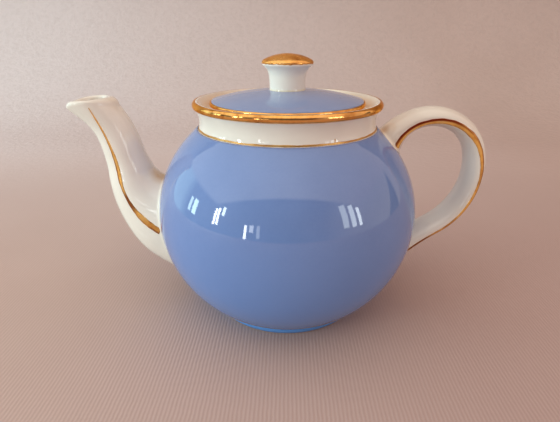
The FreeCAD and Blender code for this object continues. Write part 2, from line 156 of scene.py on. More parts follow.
HANDLE_RISE = radians(60.0)
HANDLE_SIZE = (10.8, 19.8)
HANDLE_ROOT_SIZE = (16.0, 23.0)
HANDLE_FLARE_LENGTH = 20.0

# Coats
GLAZE = 0.4
GILT = 0.25
GILT_SUNK = 0.12
RING_EDGE_SUNK = 0.02
STRIPE_SUNK = 0.15
STRIPE_EDGE_SUNK = 0.03
GLAZE_FOOT_GAP = 0.7
GLAZE_FOOT_ROUND = 0.3
GLAZE_EDGE_ROUND = 0.25
OUTLINE_SLICE = 1.2
LUTE_ROUND = 1.6


# Profiles: lists of (radius, height) points
def body_radius(height, growth=0.0):
    """Radius of the round body's clay at a height, moved outwards by growth."""
    reach = np.where(np.asarray(height) > WIDEST_HEIGHT, UPPER_REACH, LOWER_REACH) + growth
    return (CLAY_RADIUS + growth) * np.sqrt(np.maximum(0.0, 1.0 - ((height - WIDEST_HEIGHT) / reach) ** 2))


def body_run(low, high, growth, count):
    """Points of the round body's side between two heights, closer together where it curves in."""
    reach = [LOWER_REACH + growth, UPPER_REACH + growth]
    first, last = (asin((end - WIDEST_HEIGHT) / reach[end > WIDEST_HEIGHT]) for end in (low, high))
    half = CLAY_RADIUS + growth
    return [(half * cos(turn), WIDEST_HEIGHT + reach[int(turn > 0.0)] * sin(turn))
            for turn in np.linspace(first, last, count)]


def arc_run(radius, height, size, first, last, count):
    """Points of a circle's arc between two angles in degrees."""
    turns = np.radians(np.linspace(first, last, count))
    return list(zip(radius + size * np.cos(turns), height + size * np.sin(turns)))


def bow_run(start, middle, end, count):
    """Points of the circle's arc, less than half a turn long, through three points."""
    start, middle, end = (complex(*point) for point in (start, middle, end))
    ratio = (end - start) / (middle - start)
    centre = start + (middle - start) * (ratio - abs(ratio) ** 2) / (ratio - ratio.conjugate())
    swing = np.angle((end - centre) / (start - centre))
    points = centre + (start - centre) * np.exp(1j * np.linspace(0.0, swing, count))
    return list(zip(points.real, points.imag))


def dome_height(radius, growth=0.0):
    return DOME_CENTRE + np.sqrt((DOME_RADIUS + growth) ** 2 - np.asarray(radius) ** 2)


def dome_run(first, last, growth, count):
    radii = np.linspace(first, last, count)
    return list(zip(radii, dome_height(radii, growth)))


def rounded(corners, loop=False, arc_steps=6):
    """Profile through corners of (radius, height), some with a rounding, with long stretches divided."""
    points = []
    for index, (x, y, *rounding) in enumerate(corners):
        here = np.array((x, y))
        if not rounding:
            points.append(here)
            continue
        size = rounding[0]
        beside = (corners[index - 1], corners[(index + 1) % len(corners)])
        before, after = (unit(np.array(corner[:2]) - here) for corner in beside)
        half = acos(np.clip(before @ after, -1.0, 1.0)) / 2.0
        centre = here + unit(before + after) * (size / sin(half))
        start, end = (here + side * size / tan(half) - centre for side in (before, after))
        swing = atan2(start[0] * end[1] - start[1] * end[0], start @ end)
        for turn in np.linspace(0.0, swing, arc_steps):
            spin = np.array(((cos(turn), -sin(turn)), (sin(turn), cos(turn))))
            points.append(centre + spin @ start)
    if loop:
        points.append(points[0])
    spread = [points[0]]
    for point in points[1:]:
        start = spread[-1]
        pieces = max(1, ceil(np.linalg.norm(point - start) / LONGEST_STEP))
        spread += [start + (point - start) * step / pieces for step in range(1, pieces + 1)]
    return np.array(spread[:-1] if loop else spread)


def unit(vectors):
    return vectors / np.linalg.norm(vectors, axis=-1, keepdims=True)


# Meshes
def ring_angles(count):
    return np.linspace(0.0, FULL_TURN, count, endpoint=False)


ANGLES = ring_angles(TURN_SEGMENTS)
TURNS = ring_angles(TUBE_SEGMENTS)


def spun(radius, height, angles=ANGLES):
    """Points at radii and heights, turned about the axis by angles."""
    return np.stack(np.broadcast_arrays(radius * np.cos(angles), radius * np.sin(angles), height), axis=-1)


def turned(profile, segments=TURN_SEGMENTS):
    """Rows of points of a profile turned about the axis."""
    return spun(profile[:, :1], profile[:, 1:], ring_angles(segments))


def skin(rows, loop=False, caps=False, kept=None):
    """Mesh through rows of points, each a closed ring, with caps or joined into a loop of rows."""
    count, around = rows.shape[:2]
    verts = list(map(tuple, rows.reshape(-1, 3) * MM))
    faces = []
    for row in range(count if loop else count - 1):
        here, there = row * around, (row + 1) % count * around
        for step in range(around):
            after = (step + 1) % around
            if kept is None or kept[row, step]:
                faces.append((here + step, here + after, there + after, there + step))
    if caps:
        for row, flip in ((0, True), (count - 1, False)):
            centre = len(verts)
            verts.append(tuple(rows[row].mean(axis=0) * MM))
            ring = [row * around + step for step in range(around)]
            for first, second in zip(ring, ring[1:] + ring[:1]):
                faces.append((second, first, centre) if flip else (first, second, centre))
    return made_mesh(verts, faces)


def shell(top, bottom):
    """Closed mesh between two open sheets of points that have the same rows and columns."""
    count, across = top.shape[:2]
    verts = list(map(tuple, np.concatenate((top, bottom)).reshape(-1, 3) * MM))
    under = count * across
    faces = []
    for row in range(count - 1):
        for step in range(across - 1):
            corner = row * across + step
            quad = (corner, corner + 1, corner + across + 1, corner + across)
            faces += [quad, tuple(under + index for index in reversed(quad))]
    edge = list(range(across))
    edge += [row * across + across - 1 for row in range(1, count)]
    edge += [(count - 1) * across + step for step in reversed(range(across - 1))]
    edge += [row * across for row in reversed(range(1, count - 1))]
    for first, second in zip(edge, edge[1:] + edge[:1]):
        faces.append((second, first, under + first, under + second))
    return made_mesh(verts, faces)


def made_mesh(verts, faces):
    """Smooth mesh without stray points, facing outwards where it is closed."""
    mesh = bpy.data.meshes.new("made")
    mesh.from_pydata(verts, [], faces)
    work = bmesh.new()
    work.from_mesh(mesh)
    bmesh.ops.delete(work, geom=[vert for vert in work.verts if not vert.link_faces], context="VERTS")
    if all(edge.is_manifold for edge in work.edges):
        bmesh.ops.recalc_face_normals(work, faces=work.faces)
    work.to_mesh(mesh)
    work.free()
    return smoothed(mesh)


def smoothed(mesh):
    mesh.polygons.foreach_set("use_smooth", [True] * len(mesh.polygons))
    return mesh


def marked(mesh, name, rows):
    """Mesh of gilding that stores a number from 0 to 1 for each of its points."""
    mesh.attributes.new(name, "FLOAT", "POINT").data.foreach_set("value", np.ravel(rows))
    return mesh


def placed(name, data):
    """New object in the scene."""
    thing = bpy.data.objects.new(name, data)
    bpy.context.scene.collection.objects.link(thing)
    return thing


RECORD = frame["record"]
BODY_OF_NODE = {node: body for body, nodes in RECORD["behaviour"]["bodies"].items() for node in nodes}
SLOT_OF_NODE = {row["node"]: row["material_slot"] for row in RECORD["subparts"]}


def dress(node, mesh, finish=None):
    """Piece that stands for a CAD node: it rides on that node's body and has its slot, and a finish."""
    piece = placed(node + "_finish", mesh)
    mesh.name = piece.name
    mesh.materials.clear()
    mesh.materials.append(finish or FINISHES[SLOT_OF_NODE[node]])
    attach(piece, BODY_OF_NODE[node])
    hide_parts(node)
    return piece


def drilled(mesh, pins):
    """Mesh with round pins cut out of it; a pin is a foot, a direction, a length and a radius."""
    work = bmesh.new()
    for foot, course, length, radius in pins:
        made = bmesh.ops.create_cone(work, cap_ends=True, segments=PIN_SEGMENTS, depth=length * MM,
                                     radius1=radius * MM, radius2=radius * MM)
        turn = Vector((0, 0, 1)).rotation_difference(Vector(course))
        middle = (Vector(foot) + Vector(course) * length / 2.0) * MM
        for vert in made["verts"]:
            vert.co = turn @ vert.co + middle
    tool_mesh = bpy.data.meshes.new("pins")
    work.to_mesh(tool_mesh)
    work.free()
    tool, target = placed("pins", tool_mesh), placed("target", mesh)
    cut = target.modifiers.new("cut", "BOOLEAN")
    cut.object = tool
    cut.solver = "EXACT"
    bpy.context.view_layer.update()
    result = bpy.data.meshes.new_from_object(target.evaluated_get(bpy.context.evaluated_depsgraph_get()))
    for thing in (tool, target):
        bpy.data.objects.remove(thing)
    work = bmesh.new()
    work.from_mesh(result)
    bmesh.ops.remove_doubles(work, verts=work.verts, dist=SHORTEST_EDGE * MM)
    bmesh.ops.dissolve_degenerate(work, edges=work.edges, dist=SHORTEST_EDGE * MM)
    bmesh.ops.connect_verts_concave(work, faces=work.faces)
    large = [face for face in work.faces if len(face.verts) > 4]
    bmesh.ops.triangulate(work, faces=large, ngon_method="EAR_CLIP")
    work.to_mesh(result)
    work.free()
    smoothed(result).set_sharp_from_angle(angle=SHARP_ANGLE)
    return result


def wobble(angles, seed, waves):
    """Smooth uneven wave round a circle or along a line, between about -1 and 1."""
    dice = np.random.default_rng(seed)
    total = np.zeros_like(angles)
    for wave in waves:
        total += np.sin(wave * angles + dice.uniform(0.0, FULL_TURN)) / len(waves)
    return total


# Paths of the spout and the handle
def walk(start, stretches, distance):
    """Places and headings on a path at distances from its start."""
    x, z, heading = (np.full_like(distance, value) for value in start)
    for length, turn in stretches:
        step = np.clip(distance, 0.0, length)
        angle = radians(turn) * step / length
        chord = step * np.sinc(angle / FULL_TURN)
        x = x + chord * np.cos(heading + angle / 2.0)
        z = z + chord * np.sin(heading + angle / 2.0)
        heading = heading + angle
        distance = distance - step
    return x, z, heading


def ring_point(place, turn, depth, width):
    """Points at a turn round oval sections that stand square to a path."""
    x, z, heading = place
    side = depth / 2.0 * np.sin(turn)
    across = width / 2.0 * np.cos(turn)
    return np.stack((x - side * np.sin(heading), across, z + side * np.cos(heading)), axis=-1)


def path_middle(start, stretches, distance):
    x, z, heading = walk(start, stretches, distance)
    return np.stack((x, 0.0 * x, z), axis=-1)


def smooth_curve(knots, values):
    """Natural cubic curve through values at knots, as a function."""
    knots, values = np.asarray(knots), np.asarray(values)
    step, rise = np.diff(knots), np.diff(values)
    count = len(knots)
    matrix = np.eye(count)
    right = np.zeros(count)
    for row in range(1, count - 1):
        matrix[row, row - 1:row + 2] = step[row - 1], 2.0 * (step[row - 1] + step[row]), step[row]
        right[row] = 6.0 * (rise[row] / step[row] - rise[row - 1] / step[row - 1])
    bends = np.linalg.solve(matrix, right)

    def curve(at):
        index = np.clip(np.searchsorted(knots, at) - 1, 0, count - 2)
        gap = step[index]
        total = 0.0
        for end, reach in ((index, knots[index + 1] - at), (index + 1, at - knots[index])):
            total += bends[end] * reach ** 3 / (6.0 * gap)
            total += (values[end] / gap - bends[end] * gap / 6.0) * reach
        return total

    return curve


spout_front, spout_rear, spout_width = (smooth_curve(SPOUT_SECTIONS[:, 0], SPOUT_SECTIONS[:, column])
                                        for column in (1, 2, 3))


def spout_point(share, turn, growth=0.0):
    """Points of the spout at shares of its path and turns round it, moved outwards by growth."""
    share, turn = np.broadcast_arrays(share, turn)
    place = walk(SPOUT_START, SPOUT_PATH, share * SPOUT_LENGTH)
    reach = np.where(np.sin(turn) > 0.0, spout_front(share), spout_rear(share))
    return ring_point(place, turn, 2.0 * (reach + growth), spout_width(share) + 2.0 * growth)


HANDLE_START = (
    body_radius(HANDLE_JOINT_HEIGHT) - HANDLE_BURIED * cos(HANDLE_RISE),
    HANDLE_JOINT_HEIGHT - HANDLE_BURIED * sin(HANDLE_RISE),
    HANDLE_RISE,
)


def handle_point(share, turn, growth=0.0):
    """Points of the handle, as spout_point gives them for the spout."""
    share, turn = np.broadcast_arrays(share, turn)
    distance = share * HANDLE_LENGTH
    shown = np.minimum(distance, HANDLE_LENGTH - distance) - HANDLE_BURIED
    swell = np.clip(1.0 - shown / HANDLE_FLARE_LENGTH, 0.0, 1.0) ** 2
    depth, width = (slim + swell * (wide - slim) for slim, wide in zip(HANDLE_SIZE, HANDLE_ROOT_SIZE))
    place = walk(HANDLE_START, HANDLE_PATH, distance)
    return ring_point(place, turn, depth + 2.0 * growth, width + 2.0 * growth)


def body_distance(points, growth):
    """Distance of points from the round body's surface, moved outwards by growth."""
    reach = np.where(points[..., 2] > WIDEST_HEIGHT, UPPER_REACH, LOWER_REACH) + growth
    scale = np.stack((1.0 / (CLAY_RADIUS + growth) + 0.0 * reach,) * 2 + (1.0 / reach,), axis=-1)
    local = (points - (0.0, 0.0, WIDEST_HEIGHT)) * scale
    size = np.linalg.norm(local, axis=-1)
    return size * (size - 1.0) / np.linalg.norm(local * scale, axis=-1)


def crossing(value, low, high):
    """Share at which a rising function crosses zero, for each turn round a section."""
    low, high = np.full_like(TURNS, low), np.full_like(TURNS, high)
    for step in range(50):
        middle = (low + high) / 2.0
        inside = value(middle) < 0.0
        low, high = np.where(inside, middle, low), np.where(inside, high, middle)
    return (low + high) / 2.0


def luted(points, centres):
    """Points moved away from the middle of their section near the body, as a smoothed clay joint."""
    gap = np.clip(body_distance(points, GLAZE), 0.0, LUTE_ROUND)
    spread = LUTE_ROUND - np.sqrt(LUTE_ROUND ** 2 - (LUTE_ROUND - gap) ** 2)
    return points + unit(points - centres) * spread[..., None]


# White pieces
def pot_profile():
    ring_inner = FOOT_RADIUS - FOOT_RING_WIDTH
    bead = arc_run(RIM_RADIUS, BEAD_HEIGHT, RIM_BEAD_RADIUS, BEAD_START, DISH_START, 22)
    shoulder = (SHOULDER_RADIUS, SHOULDER_HEIGHT)
    waist = (COLLAR_WAIST_RADIUS, (SHOULDER_HEIGHT + bead[0][1]) / 2.0)
    seat_corner = (SEAT_RADIUS, SEAT_HEIGHT)
    dish_middle = ((bead[-1][0] + SEAT_RADIUS) / 2.0, (bead[-1][1] + SEAT_HEIGHT) / 2.0 - DISH_SAG)
    ledge_low = SEAT_HEIGHT - LEDGE_THICKNESS
    bore_share = COLLAR_BORE_RADIUS / (CLAY_RADIUS - WALL)
    collar_low = WIDEST_HEIGHT + (UPPER_REACH - WALL) * sqrt(1.0 - bore_share ** 2)
    corners = [
        (AXIS_GAP, BASE_RECESS),
        (ring_inner - BASE_RECESS, BASE_RECESS, BASE_ROUND),
        (ring_inner, 0.0, FOOT_INNER_ROUND),
        (FOOT_RADIUS, 0.0, FOOT_EDGE_ROUND),
        (FOOT_RADIUS, FOOT_HEIGHT),
    ]
    corners += body_run(FOOT_HEIGHT, SHOULDER_HEIGHT, 0.0, 90)
    corners += bow_run(shoulder, waist, bead[0], 16)[1:]
    corners += bead[1:]
    corners += bow_run(bead[-1], dish_middle, seat_corner, 10)[1:-1]
    corners += [
        seat_corner + (SEAT_ROUND,),
        (NECK_BORE_RADIUS, SEAT_HEIGHT, NECK_ROUND),
        (NECK_BORE_RADIUS, ledge_low, NECK_ROUND),
        (COLLAR_BORE_RADIUS, ledge_low - COLLAR_BORE_RADIUS + NECK_BORE_RADIUS, COLLAR_BORE_ROUND),
    ]
    corners += reversed(body_run(FLOOR_HEIGHT + FLOOR_CORNER, collar_low, -WALL, 70))
    corners += [
        (body_radius(FLOOR_HEIGHT, -WALL), FLOOR_HEIGHT, FLOOR_ROUND),
        (AXIS_GAP, FLOOR_HEIGHT),
    ]
    return rounded(corners)


def strainer_pins():
    """Pins for the holes behind the spout, on a staggered grid inside its bore."""
    x, z, heading = SPOUT_START
    course = np.array((cos(heading), 0.0, sin(heading)))
    down = np.array((-sin(heading), 0.0, cos(heading)))
    inside = (x, 0.0, z) - course * 2.0 * WALL
    edge = SPOUT_WALL + STRAINER_MARGIN + STRAINER_HOLE_RADIUS
    half_depth, half_width = (half - edge for half in STRAINER_HALF_SIZE)
    row_step = STRAINER_PITCH * sqrt(3.0) / 2.0
    pins = []
    for row in range(-3, 4):
        for column in range(-3, 4):
            depth, width = row * row_step, (column + 0.5 * (row % 2)) * STRAINER_PITCH
            if (depth / half_depth) ** 2 + (width / half_width) ** 2 <= 1.0:
                foot = inside + down * depth + (0.0, width, 0.0)
                pins.append((foot, course, CLAY_RADIUS, STRAINER_HOLE_RADIUS))
    return pins


def spout_rows():
    """Rings of the spout: up the outside, over the rounded lip and down the bore."""
    plane = np.array((-sin(SPOUT_MOUTH_SLOPE), 0.0, cos(SPOUT_MOUTH_SLOPE)))
    front, rear = (np.maximum(side * np.sin(TURNS), 0.0) ** 2 for side in (1.0, -1.0))
    lip, thickness = (aside + ahead * front + behind * rear
                      for aside, ahead, behind in (LIP_RISE, LIP_THICKNESS))
    droop = LIP_DROOP * front ** 1.5

    def above_mouth(share, growth=0.0):
        return (spout_point(share, TURNS, growth) - SPOUT_MOUTH) @ plane

    def wall(growth, top, rows, power):
        root = crossing(lambda share: body_distance(spout_point(share, TURNS, growth), 0.0), 0.0, 0.45)
        shares = root + (top - root) * np.linspace(0.0, 1.0, rows)[:, None] ** power
        return spout_point(shares, TURNS, growth), path_middle(SPOUT_START, SPOUT_PATH, shares * SPOUT_LENGTH)

    top = crossing(lambda share: above_mouth(share) + lip + droop, 0.6, SPOUT_LAST_SHARE)
    outside = luted(*wall(0.0, top, 120, 1.3))
    edge = outside[-1]
    inward = edge.mean(axis=0) - edge
    inward = unit(inward - plane * (inward @ plane)[:, None])
    rim = edge + inward * (thickness / 2.0)[:, None] + plane * (droop / 2.0)[:, None]
    rise = plane * lip[:, None]
    over = [rim + (edge - rim) * cos(turn) + rise * sin(turn)
            for turn in np.linspace(0.0, pi, 15)[1:]]
    hole = over[-1]
    throat = crossing(lambda share: above_mouth(share, -SPOUT_WALL) + THROAT_DEPTH, 0.4, SPOUT_LAST_SHARE)
    bore = wall(-SPOUT_WALL, throat, 70, 1.0)[0][::-1]
    blend = np.linspace(0.0, 1.0, 14)[1:-1, None, None]
    level = blend * blend * (3.0 - 2.0 * blend)
    drop = plane * ((bore[0] - hole) @ plane)[:, None]
    neck = hole + (bore[0] - hole - drop) * level + drop * blend
    return np.concatenate((outside, np.array(over), neck, bore))


def handle_rows():
    """Rings of the handle from its upper joint round to its lower one."""
    def from_body(share):
        return body_distance(handle_point(share, TURNS), 0.0)

    upper = crossing(from_body, 0.0, 0.3)
    lower = crossing(lambda share: -from_body(share), 0.6, 1.0)
    along = np.linspace(-1.0, 1.0, 200)[:, None]
    along = 0.5 + 0.5 * np.sign(along) * (1.0 - (1.0 - np.abs(along)) ** 1.25)
    shares = upper + (lower - upper) * along
    return luted(handle_point(shares, TURNS), path_middle(HANDLE_START, HANDLE_PATH, shares * HANDLE_LENGTH))


LID_EDGE_MIDDLE = dome_height(DOME_EDGE_RADIUS) - LID_EDGE_ROUND
KNOB_LOW = dome_height(KNOB_STEM_RADIUS)
KNOB_EDGE_HEIGHT = KNOB_LOW + KNOB_FLARE_HEIGHT


def lid_profile():
    flange_low = SEAT_HEIGHT - FLANGE_DEPTH
    corners = dome_run(AXIS_GAP, FLANGE_BORE_RADIUS - LID_UNDER_CORNER, -LID_THICKNESS, 16)
    corners += [
        (FLANGE_BORE_RADIUS, dome_height(FLANGE_BORE_RADIUS, -LID_THICKNESS), LID_UNDER_ROUND),
        (FLANGE_BORE_RADIUS, flange_low, FLANGE_ROUND),
        (FLANGE_RADIUS, flange_low, FLANGE_ROUND),
        (FLANGE_RADIUS, SEAT_HEIGHT, SEAT_ROUND),
        (LID_RADIUS, SEAT_HEIGHT, SEAT_ROUND),
    ]
    corners += arc_run(DOME_EDGE_RADIUS, LID_EDGE_MIDDLE, LID_EDGE_ROUND, 0.0, 90.0, 8)
    corners += dome_run(DOME_EDGE_RADIUS - 1.0, AXIS_GAP, 0.0, 30)
    return rounded(corners)


def knob_dome(growth, first, count):
    """Points of the knob's dome from an angle on its rounded edge up to its crown."""
    rise = KNOB_DOME_RISE - GILT
    centre = KNOB_FLARE_RADIUS - GILT - KNOB_EDGE_ROUND
    crown = (centre ** 2 + rise ** 2 - KNOB_EDGE_ROUND ** 2) / (2.0 * (rise - KNOB_EDGE_ROUND))
    crown_height = KNOB_EDGE_HEIGHT + rise - crown
    tilt = degrees(atan2(KNOB_EDGE_HEIGHT - crown_height, centre))
    edge = arc_run(centre, KNOB_EDGE_HEIGHT, KNOB_EDGE_ROUND + growth, first, tilt, count)
    top = arc_run(0.0, crown_height, crown + growth, tilt, 89.0, 20)
    return edge + top[1:]


def knob_profile():
    """Stem that narrows a little towards the lid and opens like a trumpet under the gilding."""
    below_edge = np.array((-13.2, -11.0, -8.4, -6.4, -4.8, -3.5, -2.5, -1.7, -1.0, -0.5, 0.0))
    radius = (9.75, 9.7, 9.85, 10.05, 10.35, 10.85, 11.5, 12.3, 13.1, 13.6, 13.75)
    corners = [(AXIS_GAP, KNOB_LOW - 1.0), (KNOB_STEM_RADIUS + 0.5, KNOB_LOW - 0.3)]
    corners += zip(radius, KNOB_EDGE_HEIGHT + below_edge)
    corners += knob_dome(0.0, 0.0, 10)[1:]
    return rounded(corners)


# Blue coats
def inside_outline(points, path_point, low, high):
    """True for points on the body that lie inside a luted-on tube, less half a wall, between two shares."""
    shares = np.linspace(low, high, 80)
    middles = (path_point(shares, 0.0) + path_point(shares, pi)) / 2.0
    inside = np.zeros(points.shape[:-1], bool)
    for share, middle in zip(shares, middles):
        ring = path_point(share, TURNS, -SPOUT_WALL / 2.0) - middle
        depth_axis = ring[TUBE_SEGMENTS // 4]
        width = abs(ring[0, 1])
        depth = np.linalg.norm(depth_axis)
        depth_axis = depth_axis / depth
        along = np.cross(depth_axis, (0.0, 1.0, 0.0))
        local = points - middle
        flat = np.abs(local @ along) < OUTLINE_SLICE
        inside |= flat & (((local @ depth_axis) / depth) ** 2 + (local[..., 1] / width) ** 2 < 1.0)
    return inside


def body_glaze():
    """Blue skin of the body, open where the spout and the handle are luted on."""
    under = FOOT_HEIGHT - GLAZE
    side = FOOT_RADIUS + GLAZE
    corners = [(side, GLAZE_FOOT_GAP), (side, under, GLAZE_FOOT_ROUND)]
    corners += body_run(under, SHOULDER_HEIGHT, GLAZE, 130)
    rows = turned(rounded(corners))
    centres = (rows[:-1] + rows[1:]) / 2.0
    centres = (centres + np.roll(centres, -1, axis=1)) / 2.0
    covered = inside_outline(centres, spout_point, 0.1, 0.5)
    covered |= inside_outline(centres, handle_point, 0.03, 0.2)
    covered |= inside_outline(centres, handle_point, 0.8, 0.97)
    piece = dress("body_blue_glaze", skin(rows, kept=~covered))
    thick = piece.modifiers.new("coat", "SOLIDIFY")
    thick.thickness = GLAZE * MM
    thick.offset = -1.0


def lid_glaze_profile():
    inner, outer = KNOB_STEM_RADIUS - 0.3, DOME_EDGE_RADIUS + 0.1
    corners = dome_run(inner, outer, 0.02, 24)
    corners += [(outer, dome_height(outer, GLAZE), GLAZE_EDGE_ROUND)]
    corners += dome_run(outer - 1.0, inner, GLAZE, 40)
    return rounded(corners, loop=True)


# Gilding
def gilt_ring(curve, first, last, seed, sway, thickness=GILT):
    """Gilt band round the axis, whose two edges sway and thin out.

    curve gives the profile point at a place along it and a height above the glaze.
    """
    low = first + sway * wobble(ANGLES, seed, (7, 13, 24, 41))
    high = last + sway * wobble(ANGLES, seed + 1, (5, 11, 23, 38))
    steps = np.linspace(0.0, 1.0, 18)
    there_and_back = np.concatenate((steps, steps[::-1][1:-1]))
    from_edge = 2.0 * np.minimum(there_and_back, 1.0 - there_and_back)
    lifts = thickness * np.minimum(1.0, 3.0 * from_edge) - RING_EDGE_SUNK
    lifts[len(steps):] = -GILT_SUNK
    rows = [spun(*curve(low + (high - low) * share, lift)) for share, lift in zip(there_and_back, lifts)]
    mesh = skin(np.array(rows), loop=True)
    return marked(mesh, "from_edge", np.repeat(from_edge, TURN_SEGMENTS))


def rim_curve(angle, lift):
    turn = np.radians(angle)
    size = RIM_BEAD_RADIUS + lift
    return RIM_RADIUS + size * np.cos(turn), BEAD_HEIGHT + size * np.sin(turn)


def collar_curve(height, lift):
    return SHOULDER_RADIUS - 0.25 * np.clip(height - SHOULDER_HEIGHT, 0.0, 2.0) + lift, height


def lid_edge_curve(place, lift):
    """Runs along the dome below 0, round the lid's edge in degrees to 90, and then down its side."""
    turn = np.radians(90.0 - np.clip(place, 0.0, 90.0))
    flat = np.clip(place, None, 0.0) / 90.0
    side = np.clip(place - 90.0, 0.0, None) / 90.0
    size = LID_EDGE_ROUND + lift
    radius = DOME_EDGE_RADIUS + flat + size * np.cos(turn)
    return radius, LID_EDGE_MIDDLE + size * np.sin(turn) - 0.27 * flat - side


def knob_cap():
    """Gilding over the knob's dome, with an uneven lower edge."""
    first = 4.0 + 6.0 * wobble(ANGLES, 31, (5, 9, 17, 29))
    up, down = [], []
    for start in first:
        clay, gilt, sunk = (np.array(knob_dome(growth, start, 16)) for growth in (0.0, GILT, -GILT_SUNK))
        grow = np.minimum(1.0, np.arange(len(clay)) / 4.0)[:, None]
        up.append(clay + (gilt - clay) * grow)
        down.append(sunk)
    profile = np.concatenate((np.array(down)[:, ::-1], np.array(up)), axis=1)
    mesh = skin(spun(profile[..., 0].T, profile[..., 1].T), caps=True)
    from_edge = np.minimum(1.0, np.arange(len(clay)) / 10.0)
    from_edge = np.repeat(np.concatenate((from_edge[::-1], from_edge)), TURN_SEGMENTS)
    return marked(mesh, "from_edge", np.append(from_edge, (1.0, 1.0)))


def stripe(point, shares, middle_turn, half_width, seed):
    """Closed gilt stripe along a tube, between two turns round its section that vary with the share."""
    steps = np.linspace(-1.0, 1.0, 11)
    uneven = 1.0 + 0.10 * wobble(shares * 60.0, seed, (1.0, 1.7, 3.1))
    turns = middle_turn[:, None] + (half_width * uneven)[:, None] * steps
    lift = GILT * np.minimum(1.0, 3.0 * (1.0 - np.abs(steps))) - STRIPE_EDGE_SUNK
    mesh = shell(point(shares[:, None], turns, lift), point(shares[:, None], turns, -STRIPE_SUNK))
    outer = 0.5 + 0.5 * np.sign(np.cos(middle_turn))[:, None] * steps
    marked(mesh, "outer_edge", np.concatenate((outer, outer)))
    return marked(mesh, "from_edge", np.tile(1.0 - np.abs(steps), 2 * len(shares)))


def side_stripes(names, point, shares, rise, half_width, seeds, gap):
    """Gilt stripes along both sides of a tube, as far as they keep a gap from the body."""
    for name, turns, seed in zip(names, (pi - rise, rise), seeds):
        clear = body_distance(point(shares, turns), GLAZE) > gap
        dress(name, stripe(point, shares[clear], turns[clear], half_width[clear], seed), STRIPE_FINISH)


def spout_stripes():
    """Leaf-shaped stripes along the spout, thinning towards the tip."""
    shares = np.linspace(0.2, 0.92, 220)
    width_at = smooth_curve((0.26, 0.36, 0.45, 0.58, 0.68, 0.78, 0.92), (4.3, 4.0, 2.1, 2.5, 1.9, 1.2, 0.4))
    place_at = smooth_curve((0.12, 0.26, 0.43, 0.63, 0.92), (0.10, 0.10, 0.18, 0.18, -0.15))
    rise = np.arcsin(place_at(shares))
    half_width = width_at(shares) / (spout_front(shares) + spout_rear(shares))
    names = ("spout_gilt_stripe_front", "spout_gilt_stripe_back")
    side_stripes(names, spout_point, shares, rise, half_width, seeds=(51, 52), gap=0.8)


def handle_stripes():
    """Gilt lines along the handle, from its inner edge above to its outer edge below."""
    shares = np.linspace(0.0, 1.0, 400)
    rise = np.radians(np.interp(shares, (0.05, 0.20, 0.26, 0.38, 0.44, 0.52, 0.70, 0.85),
                                (-24.0, -19.0, -15.0, -4.0, 4.0, 15.0, 18.0, 22.0)))
    widths = np.interp(shares, (0.05, 0.10, 0.18, 0.38, 0.50, 0.65, 0.85, 1.0),
                       (1.6, 2.8, 3.4, 3.3, 2.6, 2.3, 1.6, 1.0))
    names = ("handle_gilt_stripe_front", "handle_gilt_stripe_back")
    side_stripes(names, handle_point, shares, rise, widths / HANDLE_SIZE[0], seeds=(61, 62), gap=0.6)


# Finishes, with colours as linear red, green and blue

# White glaze: its ground, the colours that age, use and firing add, and colours of painted shade, painted
# warm light and a painted gold reflection
CREAM = [(0.81, 0.74, 0.655), (0.86, 0.80, 0.715)]
PURER_WHITE = (0.94, 0.88, 0.79)
# Yellowing with use, and painted warm light
YELLOWING_AND_WARM_LIGHT = (0.87, 0.735, 0.59)
# Painted shade on the handle's top
HANDLE_TOP_SHADE = (0.74, 0.64, 0.55)
TEA_STAIN = (0.62, 0.36, 0.15)
# Painted shade and painted gold reflection in the dish round the lid
DISH_SHADE_AND_GOLD_REFLECTION = (0.72, 0.45, 0.22)
KNOB_LINE = (0.72, 0.58, 0.33)
BROWN_SPECK = (0.24, 0.13, 0.06)
BARE_CLAY = (0.66, 0.55, 0.43)
# Where they fade in or out, in metres along X, in height or in radius
PURER_ACROSS, PURER_BELOW = (-0.070, -0.085), (0.112, 0.100)
DISH_INNER, DISH_FADE, DISH_OUTER = (0.0425, 0.0430), (0.0448, 0.0488), (0.0496, 0.0490)
DISH_ABOVE = (0.1190, 0.1196)
KNOB_LINE_LOW, KNOB_LINE_HIGH, KNOB_LINE_REACH = (0.1270, 0.1280), (0.1300, 0.1290), (0.0120, 0.0115)
BARE_BELOW = (0.0006, 0.0003)
# Places in millimetres; a stain also has a size and how deep its colour is
STAINS = [
    ((-74.6, -2.0, 80.0), 9.0, 0.85), ((-97.0, -1.0, 120.0), 10.0, 0.22),
    ((53.4, -4.5, 107.4), 5.0, 0.75), ((60.0, -9.0, 101.0), 5.0, 0.5), ((22.4, -43.4, 111.3), 0.9, 1.0),
]
# Painted warm light on the spout's side towards the pot, and yellowing with painted warm light at the
# handle's upper end
SPOUT_WARM_LIGHT = (-76.0, 6.0, 96.0)
HANDLE_AGED_AND_WARM_LIT = (62.0, -4.0, 112.0)
# Middle of the painted shade on the handle's top
HANDLE_TOP_SHADE_MIDDLE = (84.0, -2.0, 115.0)

# Blue glaze on the body and the lid, and the heights in metres at which it changes
BODY_BLUE = [(0.145, 0.23, 0.48), (0.17, 0.26, 0.52)]
# The lid's blue is paler than the body's: partly a paler coat, partly painted light on its upward-facing dome
LID_BLUE = [(0.204, 0.273, 0.471), (0.233, 0.306, 0.507)]
BLUE_GRAIN = (0.11, 0.18, 0.45)
BLUE_SPECK = (0.03, 0.05, 0.16)
# Deeper blue low down, partly painted cyan light
LOW_BLUE = (0.124, 0.269, 0.626)
POOLED_BLUE = (0.10, 0.29, 0.66)
LOW_BELOW, POOLED_BELOW = (0.080, 0.035), (0.0050, 0.0034)

